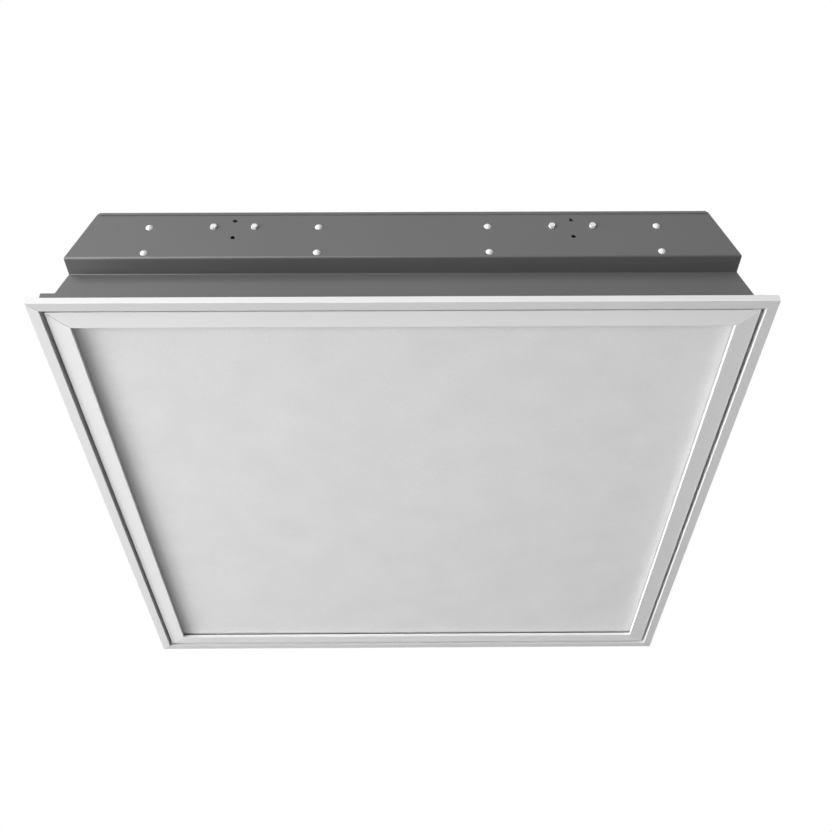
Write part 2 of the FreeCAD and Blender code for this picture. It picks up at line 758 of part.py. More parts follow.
def roof_screws():
    """Hold the ballast, the terminal block and the earth lug up to the top sheet."""
    grips = [ballast_tab_sheet, ballast_tab_sheet, block_height - block_well, earth_lug_sheet]
    return [round_screw(V(x, y, under_top - grip), -ABOVE, grip + sheet + roof_screw_reach)
            for (x, y), grip in zip(roof_screw_places(), grips)]


def terminal_block():
    """Moulded block with one wire entry for each way, on both sides."""
    low = under_top - block_height
    body = box(-block_length / 2, block_length / 2, block_y - block_width / 2, block_y + block_width / 2,
               low, under_top)
    entries = []
    for x in terminal_ways():
        for y in (block_y - block_width / 2, block_y + block_width / 2 - entry_depth):
            entries.append(rod(lead_radius + slot_clearance, entry_depth, V(x, y, terminal_z()), ALONG_Y))
    well = rod(cover_screw_head_radius + slot_clearance, block_well, V(0, block_y, low), ABOVE)
    hole = rod(cover_screw_radius, block_height, V(0, block_y, low), ABOVE)
    return body.cut(entries + [well, hole])


def terminal_ways():
    pitch = block_length / block_ways
    return [(k - (block_ways - 1) / 2) * pitch for k in range(block_ways)]


def terminal_z():
    return under_top - block_height / 2


def earth_lug():
    foot = V(earth_x, grommet_y, under_top - earth_lug_sheet)
    lug = rod(earth_lug_radius, earth_lug_sheet, foot, ABOVE)
    return lug.cut(rod(cover_screw_radius, earth_lug_sheet, foot, ABOVE))


def cable_grommet():
    """Rubber ring in the top sheet; the ceiling's supply cable comes in through it."""
    middle = V(grommet_x, grommet_y, top_z - sheet / 2 - grommet_height / 2)
    ring = rod(grommet_radius, grommet_height, middle, ABOVE)
    seat = V(grommet_x, grommet_y, under_top)
    groove = rod(2 * grommet_radius, sheet, seat, ABOVE)
    groove = groove.cut(rod(grommet_groove_radius, sheet, seat, ABOVE))
    return ring.cut([groove, rod(cable_radius, grommet_height, middle, ABOVE)])


# ---- door frame ----
def door_profile():
    outer, inner = door_outer_half, door_inner_half
    wall = outer - door_wall
    return [(outer, door_outer_z), (inner, door_inner_z), (inner, door_seat_z), (wall, door_seat_z),
            (wall, door_hem_z), (door_hem_inner, door_hem_z), (door_hem_inner, door_top_z),
            (outer, door_top_z)]


def door_rail_far():
    rail = mitred_length(door_profile(), 0, rim_half)
    half = tongue_sheet / 2 + tongue_gap
    low = hinge_z - tongue_half - tongue_gap
    slots = [box(x - half, x + half, diffuser_half, rim_half, low, 2 * door_top_z)
             for x in (-hinge_place, hinge_place)]
    return rail.cut(slots)


def diffuser_gasket():
    outer = door_inner_half + gasket_inset + gasket_width
    inner = door_inner_half + gasket_inset
    profile = [(outer, door_seat_z), (outer, diffuser_z), (inner, diffuser_z), (inner, door_seat_z)]
    return [mitred_length(profile, k, rim_half) for k in range(4)]


def diffuser_panel():
    half = diffuser_half
    return box(-half, half, -half, half, diffuser_z, diffuser_top_z)


def diffuser_clips():
    """Spring clips that press the panel down from under the door's hem."""
    wall_face = door_outer_half - door_wall
    foot = door_inner_half + clip_foot_start
    hem = door_hem_z - clip_sheet
    path = [(foot, diffuser_top_z), (foot + clip_foot_width, diffuser_top_z),
            (wall_face - clip_hem_reach, hem), (wall_face, hem)]
    profile = folded(path, clip_sheet)
    clips = []
    for quarters in range(4):
        for x in (-clip_place, clip_place):
            clip = prism_along_x(profile, x - clip_length / 2, x + clip_length / 2)
            clips.append(turned(clip, quarters))
    return clips


def door_corner_keys():
    outer = door_outer_half - door_wall
    low = door_hem_z - key_sheet
    leg_x = box(outer - key_leg, outer, outer - key_width, outer, low, door_hem_z)
    leg_y = box(outer - key_width, outer, outer - key_leg, outer, low, door_hem_z)
    return [turned(joined([leg_x, leg_y]), k) for k in range(4)]


# ---- hinge and catches ----
def hinge_brackets():
    """Tongues that hang through the far ledge into the door rail's slots."""
    foot_top = ledge_top + hinge_foot_sheet
    foot_half = hinge_foot_width / 2
    brackets = []
    for x in (-hinge_place, hinge_place):
        foot = box(x - hinge_foot_length / 2, x + hinge_foot_length / 2, hinge_foot_y - foot_half,
                   hinge_foot_y + foot_half, ledge_top, foot_top)
        start = V(x - tongue_sheet / 2, hinge_y, hinge_z)
        shank = box(start.x, start.x + tongue_sheet, hinge_y - tongue_half, hinge_y + tongue_half,
                    hinge_z, foot_top)
        eye = rod(tongue_half, tongue_sheet, start, ALONG_X)
        bore = rod(hinge_pin_radius + hinge_pin_clearance, tongue_sheet, start, ALONG_X)
        brackets.append(joined([foot, shank, eye]).cut([bore] + hinge_rivet_shanks()))
    return brackets


def hinge_knuckles():
    """Two ears on a foot inside the door rail, one each side of the tongue."""
    foot_top = hinge_z - tongue_half - tongue_gap
    wall_face = door_outer_half - door_wall
    back = hinge_y - tongue_half
    inner = tongue_sheet / 2 + tongue_gap
    outer = inner + ear_sheet
    knuckles = []
    for x in (-hinge_place, hinge_place):
        parts = [box(x - outer, x + outer, back, wall_face, door_seat_z, foot_top)]
        for start in (x - outer, x + inner):
            parts.append(box(start, start + ear_sheet, back, wall_face, foot_top, hinge_z + tongue_half))
        bore = rod(hinge_pin_radius, 2 * outer, V(x - outer, hinge_y, hinge_z), ALONG_X)
        knuckles.append(joined(parts).cut(bore))
    return knuckles


def hinge_pins():
    reach = tongue_sheet / 2 + tongue_gap + ear_sheet + hinge_pin_reach
    return [rod(hinge_pin_radius, 2 * reach, V(x - reach, hinge_y, hinge_z), ALONG_X)
            for x in (-hinge_place, hinge_place)]


def catch_springs():
    """Leaf springs on the near neck; the bulge stands under the door rail's hem."""
    lead = door_hem_inner - 1.5 * catch_sheet
    low = diffuser_top_z + catch_sheet
    path = [(neck_inner, catch_rivet_z + catch_margin), (neck_inner, ledge_z),
            (lead, door_top_z + catch_sheet), (lead, door_hem_z - catch_sheet),
            (door_hem_inner + catch_bite, door_hem_z - 2 * catch_sheet), (lead, low)]
    profile = [(-d, z, r) for d, z, r in folded(path, -catch_sheet)]
    springs = []
    for x in (-catch_place, catch_place):
        spring = prism_along_x(profile, x - catch_width / 2, x + catch_width / 2)
        hole = rod(rivet_shank_radius, 4 * sheet, V(x, -neck_half, catch_rivet_z), ALONG_Y)
        springs.append(spring.cut(hole))
    return springs


def catch_rivets():
    return [domed_rivet(V(x, -neck_half, catch_rivet_z), -ALONG_Y, sheet + catch_sheet)
            for x in (-catch_place, catch_place)]


# ---- leads ----
def tube(points, radius, bend):
    """Round lead along straight runs, joined by tangent arcs at the points between."""
    edges = []
    at = points[0]
    for before, corner, after in zip(points, points[1:], points[2:]):
        into = (corner - before).normalize()
        out = (after - corner).normalize()
        start = corner - into * bend
        end = corner + out * bend
        middle = corner + (out - into).normalize() * (bend * (math.sqrt(2) - 1))
        edges += [Part.LineSegment(at, start).toShape(), Part.Arc(start, middle, end).toShape()]
        at = end
    edges.append(Part.LineSegment(at, points[-1]).toShape())
    wire = Part.Wire(edges)
    first_way = (points[1] - points[0]).normalize()
    ring = Part.Wire(Part.makeCircle(radius, points[0], first_way))
    return wire.makePipeShell([ring], True, True)


def leads():
    """Block to ballast, and from the ballast along and across to the holders at both ends."""
    holder_y = wall_inner - bracket_sheet - holder_seat_depth() / 2
    holder_top = lamp_z + holder_height / 2
    case_side = ballast_width / 2
    starts = (ballast_start + loom_exit, ballast_start + ballast_length - loom_exit)
    block_face = block_y + block_width / 2 - entry_depth
    case_face = ballast_start + ballast_tab
    way = terminal_ways()[1]
    out = [rod(lead_radius, case_face - block_face, V(way, block_face, terminal_z()), ALONG_Y)]
    for end, start in zip((-1, 1), starts):
        cross = lamp_places[-1] + loom_radius
        out.append(rod(loom_radius, 2 * cross, V(-cross, end * holder_y, loom_z), ALONG_X))
        out += [rod(lead_radius, loom_z - loom_radius - holder_top, V(x, end * holder_y, holder_top), ABOVE)
                for x in lamp_places]
        route = [V(case_side, start, loom_z), V(loom_x, start, loom_z),
                 V(loom_x, end * (holder_y - loom_radius), loom_z)]
        out.append(tube(route, loom_radius, loom_bend))
    return out


def holder_seat_depth():
    return wall_inner - bracket_sheet - cap_face - holder_gap - holder_boss_depth


# ---- one file for each named piece ----
def all_pieces():
    pieces = {"housing_shell": housing_shell(), "end_plate_near": end_plate_near(),
              "end_plate_far": end_plate_far(), "side_rivets": side_rivets(), "rim_rivets": rim_rivets(),
              "hinge_rivets": hinge_rivets(), "bracket_rivets": bracket_rivets(),
              "hanger_screws": hanger_screws(), "hanger_gussets": hanger_gussets(),
              "rim_corner_keys": rim_corner_keys()}
    for quarters, side in enumerate(("far", "left", "near", "right")):
        pieces["rim_" + side] = rim_length(quarters)
        pieces["door_rail_" + side] = mitred_length(door_profile(), quarters, rim_size)
    pieces["door_rail_far"] = door_rail_far()
    pieces.update(hold_down_tabs())
    pieces["hold_down_tab_rivets"] = hold_down_tab_rivets()
    for number, x in enumerate(lamp_places, 1):
        pieces["lamp_%d_tube" % number] = lamp_tube(x)
        pieces["lamp_%d_caps" % number] = lamp_caps(x)
        pieces["lamp_%d_rotors" % number] = lamp_rotors(x)
    pieces["lampholders_near"], pieces["lampholders_far"] = near_and_far(lampholder)
    brackets_near, brackets_far = near_and_far(lampholder_bracket)
    pieces["lampholder_brackets_near"] = brackets_near
    pieces["lampholder_brackets_far"] = brackets_far
    pieces["reflector_tray_right"], pieces["reflector_tray_left"] = both_sides(reflector_tray())
    pieces.update({"gear_cover": gear_cover(), "gear_bridges": gear_bridges(), "leads": leads(),
                   "gear_cover_screws": gear_cover_screws(), "ballast": ballast(),
                   "roof_screws": roof_screws(), "terminal_block": terminal_block(),
                   "earth_lug": earth_lug(), "cable_grommet": cable_grommet(),
                   "diffuser_gasket": diffuser_gasket(), "diffuser_panel": diffuser_panel(),
                   "diffuser_clips": diffuser_clips(), "door_corner_keys": door_corner_keys(),
                   "hinge_brackets": hinge_brackets(), "hinge_knuckles": hinge_knuckles(),
                   "hinge_pins": hinge_pins(), "catch_springs": catch_springs(),
                   "catch_rivets": catch_rivets()})
    return pieces


def main():
    os.makedirs("parts", exist_ok=True)
    for name, shape in all_pieces().items():
        group = shape if isinstance(shape, list) else [shape]
        whole = Part.makeCompound(group) if len(group) > 1 else group[0]
        whole.exportStep("parts/%s.step" % name)
        extent = whole.BoundBox
        sizes = (extent.XMin, extent.XMax, extent.YMin, extent.YMax, extent.ZMin, extent.ZMax)
        print("%-26s solids %2d valid %s" % (name, len(whole.Solids), whole.isValid()),
              " x %.1f..%.1f  y %.1f..%.1f  z %.1f..%.1f" % sizes)


main()
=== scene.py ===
# %% [markdown]
# # A recessed troffer light, seen from the room below
# The light sits in a ceiling grid: a grey sheet-steel housing above, a white rim round its foot
# and a hinged white door that holds an opal panel. The CAD model is the fixed frame, and these
# cells give it its finishes, its rounded edges, a floor, lights and a camera.

# %% Load the frame
import math

import bpy
from mathutils import Matrix, Vector

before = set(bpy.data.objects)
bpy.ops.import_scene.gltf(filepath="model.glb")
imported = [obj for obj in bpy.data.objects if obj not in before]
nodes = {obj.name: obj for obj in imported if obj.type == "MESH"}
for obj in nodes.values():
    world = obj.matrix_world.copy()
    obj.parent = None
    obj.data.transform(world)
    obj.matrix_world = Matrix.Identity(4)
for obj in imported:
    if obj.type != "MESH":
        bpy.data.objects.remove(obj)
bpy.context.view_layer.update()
print("CAD nodes:", len(nodes))

# %% [markdown]
# ## Alike pieces
# The light is built from runs of alike pieces: two ends, four lengths of rim, four rails of the
# door, four tabs that hold it down on the ceiling grid, four lamps. A workshop cuts and coats such
# a run in one go, so each run gets one name here, and the two tables further down stay short.

# %% Name the runs of alike pieces
ends = ("near", "far")
sides = ("near", "far", "left", "right")
lamps = ("lamp_1", "lamp_2", "lamp_3", "lamp_4")
end_plates = ["end_plate_" + end for end in ends]
rim_lengths = ["rim_" + side for side in sides]
door_rails = ["door_rail_" + side for side in sides]
tabs = ["hold_down_tab_%s_%s" % (end, side) for end in ends for side in ("left", "right")]
trays = ["reflector_tray_left", "reflector_tray_right"]
lampholders = ["lampholders_" + end for end in ends]
lampholder_brackets = ["lampholder_brackets_" + end for end in ends]
print("tabs:", tabs)

# %% [markdown]
# ## Rounded edges
# Sheet steel, drawn metal and moulded plastic never end in a knife edge: a deburred sheet has a
# radius of two or three tenths of a millimetre, and that thin round is what catches the light.
# The edges could be rounded in the CAD, but dozens of tiny fillets would make it heavy. Three
# modifiers do it here: weld the split corners of the CAD mesh, dissolve the flat triangles, then
# bevel what is left. The CAD vertices stay as they are.

# %% Round the edges
weld_reach_m = 1e-6
flat_within_degrees = 1
edge_from_degrees = 35


def round_edges(name, radius_mm):
    piece = nodes[name]
    weld = piece.modifiers.new("Weld corners", "WELD")
    weld.merge_threshold = weld_reach_m
    flat = piece.modifiers.new("Dissolve flats", "DECIMATE")
    flat.decimate_type = "DISSOLVE"
    flat.angle_limit = math.radians(flat_within_degrees)
    bevel = piece.modifiers.new("Round edges", "BEVEL")
    bevel.width = radius_mm / 1000
    bevel.segments = 2
    bevel.limit_method = "ANGLE"
    bevel.angle_limit = math.radians(edge_from_degrees)
    bevel.harden_normals = True


rounded_to_mm = {
    0.15: ["diffuser_clips", "catch_springs"],
    0.2: door_rails + trays + ["gear_cover", "earth_lug"],
    0.25: rim_lengths + ["rim_corner_keys", "hanger_screws"],
    0.3: end_plates + tabs + lampholder_brackets + [
        "housing_shell", "diffuser_panel", "gear_bridges", "hanger_gussets", "hinge_brackets",
        "hinge_knuckles", "door_corner_keys"],
    0.4: ["terminal_block"],
    0.5: lampholders,
    0.8: ["ballast", "cable_grommet"],
}
for radius_mm, names in rounded_to_mm.items():
    for name in names:
        round_edges(name, radius_mm)
print("rounded edges on", sum(len(names) for names in rounded_to_mm.values()), "nodes")

# %% [markdown]
# ## Colours and nodes
# A colour is picked as an sRGB hex value, as a paint chip is read on a screen, but shaders count
# in linear light, so one function converts it by the sRGB curve. A second function adds any
# shader node, with its settings and its links, which keeps each finish short enough to read.


# %% Colour and node helpers
def linear(hex_colour):
    channels = [int(hex_colour[k:k + 2], 16) / 255 for k in (1, 3, 5)]
    return [c / 12.92 if c <= 0.04045 else ((c + 0.055) / 1.055) ** 2.4 for c in channels] + [1.0]


def add(tree, kind, settings=None, inputs=None):
    node = tree.nodes.new("ShaderNode" + kind)
    for name, value in (settings or {}).items():
        setattr(node, name, value)
    for name, value in (inputs or {}).items():
        if isinstance(value, bpy.types.NodeSocket):
            tree.links.new(value, node.inputs[name])
        else:
            node.inputs[name].default_value = value
    return node


print("grey paint in linear light:", [round(c, 3) for c in linear("#8A8A8A")[:3]])

# %% [markdown]
# ## The build-up of a finish
# Every finish here has the same layers: a slow change of tone over the whole piece, a fine grain
# with a real size in millimetres, edges that are rubbed lighter or darker, a roughness that
# follows the grain, and a bump. The textures are placed by the piece's own coordinates in metres,
# so a grain of 2 mm is a noise scale of 1000 / 2. Noise keeps mostly between 0.3 and 0.7, and
# that part is stretched to the range a layer needs.
# The Mix node has a set of sockets for each kind of data. For colours, socket 0 is the share, 6
# and 7 are the two colours, and output 2 is the mixture, so these get names.

# %% Start a finish, and the values its nodes take
noise_range = (0.3, 0.7)
share, first, second, mixed = 0, 6, 7, 2
mix_colours = {"data_type": "RGBA", "blend_type": "MIX"}
multiply = {"operation": "MULTIPLY"}
scale_colour = {"operation": "SCALE"}


def start_finish(name):
    material = bpy.data.materials.new(name)
    material.use_nodes = True
    tree = material.node_tree
    shader = tree.nodes["Principled BSDF"]
    place = add(tree, "TexCoord").outputs["Object"]
    return material, tree, shader, place


def per_metre(size_mm):
    return 1000.0 / size_mm


def grain_of(place, size_mm, detail=2.0, roughness=0.5):
    return {"Vector": place, "Scale": per_metre(size_mm), "Detail": detail, "Roughness": roughness}


def stretch(value, low, high, source=noise_range):
    return {"Value": value, "From Min": source[0], "From Max": source[1], "To Min": low, "To Max": high}


print("one noise cell of 2 mm needs a scale of", per_metre(2.0))

# %% [markdown]
# ## Layers that the finishes share
# Mottle is a noise that swings between two values. The edge mask compares the true normal with
# one that is smoothed over a small radius: they differ only beside an edge. The last layer takes
# one grain for roughness and height alike, unless it is given a height of its own, because a real
# surface is rough where it is uneven.


# %% Mottle, edges and surface
def mottle(tree, place, size_mm, low, high, detail=2.0, roughness=0.5):
    noise = add(tree, "TexNoise", inputs=grain_of(place, size_mm, detail, roughness)).outputs["Fac"]
    return add(tree, "MapRange", inputs=stretch(noise, low, high)).outputs["Result"]


def edge_mask(tree, reach_mm, alike_range=(0.75, 0.98)):
    smooth = add(tree, "Bevel", {"samples": 6}, {"Radius": reach_mm / 1000}).outputs["Normal"]
    true = add(tree, "NewGeometry").outputs["Normal"]
    alike = add(tree, "VectorMath", {"operation": "DOT_PRODUCT"}, {0: smooth, 1: true})
    edge = stretch(alike.outputs["Value"], 1.0, 0.0, alike_range)
    return add(tree, "MapRange", inputs=edge).outputs["Result"]


def set_surface(tree, shader, grain, low, high, depth_mm, source=noise_range, height=None, strength=1.0):
    rough = add(tree, "MapRange", inputs=stretch(grain, low, high, source)).outputs["Result"]
    tree.links.new(rough, shader.inputs["Roughness"])
    height = grain if height is None else height
    relief = {"Height": height, "Distance": depth_mm / 1000, "Strength": strength}
    bump = add(tree, "Bump", inputs=relief).outputs["Normal"]
    tree.links.new(bump, shader.inputs["Normal"])


print("layers ready: mottle, edge mask, surface")

# %% [markdown]
# ## Powder coat
# Housing, rim and door are mild steel sheet with polyester powder, sprayed dry and baked. It
# melts into an even skin with a faint orange peel, cells of about 2 mm and a hundredth of a
# millimetre deep, and it is thinner on edges, where it looks paler. Its resin has an IOR of
# about 1.5. One function makes it, and colour and gloss tell the four coats apart.


# %% Powder coat on steel sheet
def powder_coat(name, colour, thin_colour, roughness, tone):
    material, tree, shader, place = start_finish(name)
    slow = mottle(tree, place, size_mm=140.0, low=1.0 - tone, high=1.0 + tone)
    speck = mottle(tree, place, size_mm=1.1, low=0.985, high=1.015, detail=3.0)
    shade = add(tree, "Math", multiply, {0: slow, 1: speck}).outputs[0]
    skin = {share: edge_mask(tree, reach_mm=0.7), first: linear(colour), second: linear(thin_colour)}
    coat = add(tree, "Mix", mix_colours, skin).outputs[mixed]
    toned = add(tree, "VectorMath", scale_colour, {0: coat, "Scale": shade})
    tree.links.new(toned.outputs[0], shader.inputs["Base Color"])
    shader.inputs["IOR"].default_value = 1.5
    peel = add(tree, "TexNoise", inputs=grain_of(place, size_mm=2.2)).outputs["Fac"]
    set_surface(tree, shader, peel, roughness - 0.05, roughness + 0.05, depth_mm=0.012)
    return material


# grey polyester powder: a satin, slightly mottled mid grey, paler on the folds
grey_powder_coat = powder_coat("grey_polyester_powder_coat", "#686868", "#7C7C7C", 0.46, tone=0.03)
# white polyester powder on the rim: smooth and semi-gloss, a clean cold white
white_powder_coat = powder_coat("white_polyester_powder_coat", "#E2E2E2", "#EEEEEE", 0.38, tone=0.012)
# painted light: the rim's left length takes a copy of the same white coat, a shade paler, where it faces
# the lights on the left
left_rim_painted_light_coat = powder_coat("left_rim_white_coat_painted_light", "#F4F4F4", "#FAFAFA", 0.38,
                               tone=0.012)
# the door's own coat: nearly as pale as the rim's painted-light left length, and a touch softer
white_door_coat = powder_coat("white_door_powder_coat", "#F2F2F2", "#F9F9F9", 0.42, tone=0.012)
print("powder coats made")

# %% [markdown]
# ## Opal acrylic
# The panel is extruded PMMA, 2 mm thick, filled with white pigment and given a matt, finely
# grained lower face, so no lamp shows through it. Its IOR is 1.49. Light sinks a little way in
# and comes out again, which subsurface scattering gives. The grain is about 0.5 mm, drawn at
# 0.9 mm in the relief and 1.6 mm in the tone, so that it shows in the render as the soft mottling
# that the eye sees on the real sheet.


# %% Opal acrylic panel
def opal_sheet(name, colour):
    material, tree, shader, place = start_finish(name)
    cloud = mottle(tree, place, size_mm=45.0, low=0.975, high=1.02, detail=3.0)
    fine = mottle(tree, place, size_mm=1.6, low=0.965, high=1.03, detail=3.0, roughness=0.6)
    shade = add(tree, "Math", multiply, {0: cloud, 1: fine}).outputs[0]
    toned = add(tree, "VectorMath", scale_colour, {0: linear(colour)[:3], "Scale": shade})
    tree.links.new(toned.outputs[0], shader.inputs["Base Color"])
    shader.inputs["IOR"].default_value = 1.49
    shader.inputs["Subsurface Weight"].default_value = 0.15
    shader.inputs["Subsurface Radius"].default_value = (1.0, 1.0, 1.0)
    shader.inputs["Subsurface Scale"].default_value = 0.0015
    frost = add(tree, "TexNoise", inputs=grain_of(place, size_mm=0.9)).outputs["Fac"]
    set_surface(tree, shader, frost, low=0.5, high=0.62, depth_mm=0.02)
    return material


# opal acrylic: an even, milky white with a frosted face that shows no reflections
opal_acrylic = opal_sheet("opal_acrylic_matt_extruded", "#EEEEEE")
print("opal acrylic made")

# %% [markdown]
# ## Bare and plated metals
# Most rivets are drawn aluminium, most screws are bright zinc, the small brackets are galvanised
# strip, springs and the rim's corner keys are dark strip. A metal's colour is that of its
# reflection, it keeps the default IOR and it is fully metallic. What tells them apart is the
# pattern: zinc freezes in flat crystals some millimetres wide, while pressed caps and rolled
# strip have fine lines, drawn by a noise that is squeezed along one axis. Edges are rubbed bright.


# %% Drawn, plated and rolled metal
def metal(name, colour, worn_colour, roughness, grain_mm, squeeze=(1.0, 1.0, 1.0)):
    material, tree, shader, place = start_finish(name)
    tarnish = mottle(tree, place, size_mm=25.0, low=0.0, high=0.35)
    dulled = {share: tarnish, first: linear(colour), second: linear(worn_colour)}
    face = add(tree, "Mix", mix_colours, dulled).outputs[mixed]
    rubbed = {share: edge_mask(tree, reach_mm=0.4), first: face, second: linear("#F0F0F0")}
    tree.links.new(add(tree, "Mix", mix_colours, rubbed).outputs[mixed], shader.inputs["Base Color"])
    shader.inputs["Metallic"].default_value = 1.0
    lines = add(tree, "Mapping", inputs={"Vector": place, "Scale": squeeze}).outputs["Vector"]
    fine = add(tree, "TexNoise", inputs=grain_of(lines, grain_mm, detail=3.0)).outputs["Fac"]
    set_surface(tree, shader, fine, roughness - 0.08, roughness + 0.08, depth_mm=0.004)
    return material


# drawn aluminium: a pale, softly shining rivet head
drawn_aluminium = metal("drawn_aluminium", "#D9DADC", "#BFC0C3", 0.36, grain_mm=0.8)
# pressed aluminium lamp cap: brighter, with fine rings round it
lamp_cap_aluminium = metal("pressed_aluminium_lamp_cap", "#DCDDDF", "#C6C7CA", 0.3, grain_mm=1.5,
                           squeeze=(1.0, 6.0, 1.0))
# bright zinc plate on screws and pins: blue-white and shiny
zinc_plate = metal("bright_zinc_plated_steel", "#C4C8CE", "#A9ADB4", 0.26, grain_mm=0.6)
# tempered strip: darker, warm grey with rolling lines
spring_strip = metal("tempered_spring_steel_strip", "#9A9894", "#7C7A77", 0.3, grain_mm=2.0,
                     squeeze=(1.0, 1.0, 8.0))
print("drawn, plated and rolled metals made")


# %% Galvanised strip
def galvanised(name, colour, pale_colour, crystal_mm):
    material, tree, shader, place = start_finish(name)
    crystals = {"Vector": place, "Scale": per_metre(crystal_mm), "Randomness": 1.0}
    cells = add(tree, "TexVoronoi", {"feature": "F1"}, crystals).outputs["Color"]
    tone = add(tree, "SeparateColor", inputs={0: cells}).outputs[0]
    spangle = {share: tone, first: linear(colour), second: linear(pale_colour)}
    tree.links.new(add(tree, "Mix", mix_colours, spangle).outputs[mixed], shader.inputs["Base Color"])
    shader.inputs["Metallic"].default_value = 1.0
    bent = add(tree, "TexNoise", inputs=grain_of(place, crystal_mm)).outputs["Fac"]
    rough = add(tree, "Math", {"operation": "ADD"}, {0: tone, 1: bent}).outputs[0]
    set_surface(tree, shader, rough, low=0.28, high=0.48, depth_mm=0.01, source=(0.3, 1.6), height=bent)
    return material


# galvanised strip: flat grey crystals, each with its own shine
galvanised_steel = galvanised("galvanised_steel_strip", "#9C9FA3", "#C9CCD0", crystal_mm=6.0)
print("galvanised strip made")

# %% [markdown]
# ## Enamel and flake coat
# The reflector trays and the gear cover are steel sheet with a white stoving enamel, chosen to
# throw the lamps' light down, and the ballast's can has a grey one. Enamel is smooth and glossy,
# ripples a little, and chips along cut edges. A thin clear coat gives it its second, sharper
# shine. The rivet and screw heads on the end walls have a zinc flake coat, which is dipped and
# baked like an enamel and builds up in the same layers, but it is dull and has no clear coat.


# %% Stoving enamel and zinc flake coat
def enamel(name, colour, chipped_colour, roughness, ripple_mm, clear_coat):
    material, tree, shader, place = start_finish(name)
    loose = mottle(tree, place, size_mm=1.2, low=0.0, high=0.8, detail=3.0)
    chip = add(tree, "Math", multiply, {0: edge_mask(tree, reach_mm=0.3), 1: loose}).outputs[0]
    chipped = {share: chip, first: linear(colour), second: linear(chipped_colour)}
    face = add(tree, "Mix", mix_colours, chipped).outputs[mixed]
    dust = mottle(tree, place, size_mm=60.0, low=0.97, high=1.02)
    toned = add(tree, "VectorMath", scale_colour, {0: face, "Scale": dust})
    tree.links.new(toned.outputs[0], shader.inputs["Base Color"])
    shader.inputs["IOR"].default_value = 1.5
    shader.inputs["Coat Weight"].default_value = clear_coat
    shader.inputs["Coat Roughness"].default_value = 0.15
    ripple = add(tree, "TexNoise", inputs=grain_of(place, ripple_mm)).outputs["Fac"]
    set_surface(tree, shader, ripple, roughness - 0.04, roughness + 0.06, depth_mm=0.01)
    return material


# zinc flake coat on the heads: a dull, very pale grey that stands out from the wall
zinc_flake = enamel("zinc_flake_coat", "#E0E0E0", "#B0B0B0", 0.4, ripple_mm=0.9, clear_coat=0.0)
# reflector enamel: titanium white, smooth and very bright, inside the lamp chamber
reflector_enamel = enamel("titanium_white_reflector_enamel", "#F4F4F2", "#E2E2E0", 0.35,
                          ripple_mm=3.0, clear_coat=0.3)
# the ballast's can: pale grey enamel with a weak shine
ballast_enamel = enamel("pale_grey_can_enamel", "#C9CBCC", "#9A9C9E", 0.4, ripple_mm=2.5, clear_coat=0.1)
print("enamels and flake coat made")

# %% [markdown]
# ## Plastics and rubber
# Lampholders are moulded polycarbonate, the terminal block is nylon, lead insulation is PVC and
# the grommet is rubber: each has its own gloss, IOR and faint flow or mould grain. Light sinks a
# little way into polycarbonate and nylon.


# %% Moulded and extruded plastics and rubber
def moulded(name, colour, dark_colour, roughness, grain_mm, depth_mm, ior, sink=0.0):
    material, tree, shader, place = start_finish(name)
    flow = mottle(tree, place, size_mm=18.0, low=0.0, high=0.4)
    streaked = {share: flow, first: linear(colour), second: linear(dark_colour)}
    face = add(tree, "Mix", mix_colours, streaked).outputs[mixed]
    edged = {share: edge_mask(tree, reach_mm=0.4), first: face, second: linear(colour)}
    tree.links.new(add(tree, "Mix", mix_colours, edged).outputs[mixed], shader.inputs["Base Color"])
    shader.inputs["IOR"].default_value = ior
    shader.inputs["Subsurface Weight"].default_value = sink
    shader.inputs["Subsurface Scale"].default_value = 0.001
    texture = add(tree, "TexNoise", inputs=grain_of(place, grain_mm, detail=3.0)).outputs["Fac"]
    set_surface(tree, shader, texture, roughness - 0.06, roughness + 0.06, depth_mm)
    return material


# moulded polycarbonate: clean white, a fine spark-eroded grain
white_polycarbonate = moulded("moulded_white_polycarbonate", "#F0F0EC", "#E4E4DF", 0.38,
                              grain_mm=0.7, depth_mm=0.006, ior=1.58, sink=0.1)
# natural nylon: slightly yellow and waxy
natural_nylon = moulded("moulded_natural_nylon", "#E9E6DA", "#DAD6C8", 0.45,
                        grain_mm=0.9, depth_mm=0.008, ior=1.53, sink=0.2)
# extruded PVC insulation: soft sheen, white
lead_pvc = moulded("extruded_white_pvc", "#E6E6E2", "#D6D6D1", 0.42,
                   grain_mm=1.5, depth_mm=0.006, ior=1.53)
# moulded rubber: near black, dull, with dust in its grain
grommet_rubber = moulded("moulded_black_rubber", "#1C1C1C", "#2A2A29", 0.72,
                         grain_mm=0.8, depth_mm=0.02, ior=1.52)
print("plastics and rubber made")

# %% [markdown]
# ## Lamp glass
# A fluorescent tube is clear soda glass with white powder on its inside: a matt white under a
# glossy skin. So the powder is the base, and the glass is a full clear coat over it with a faint
# waviness, as drawn tube has.


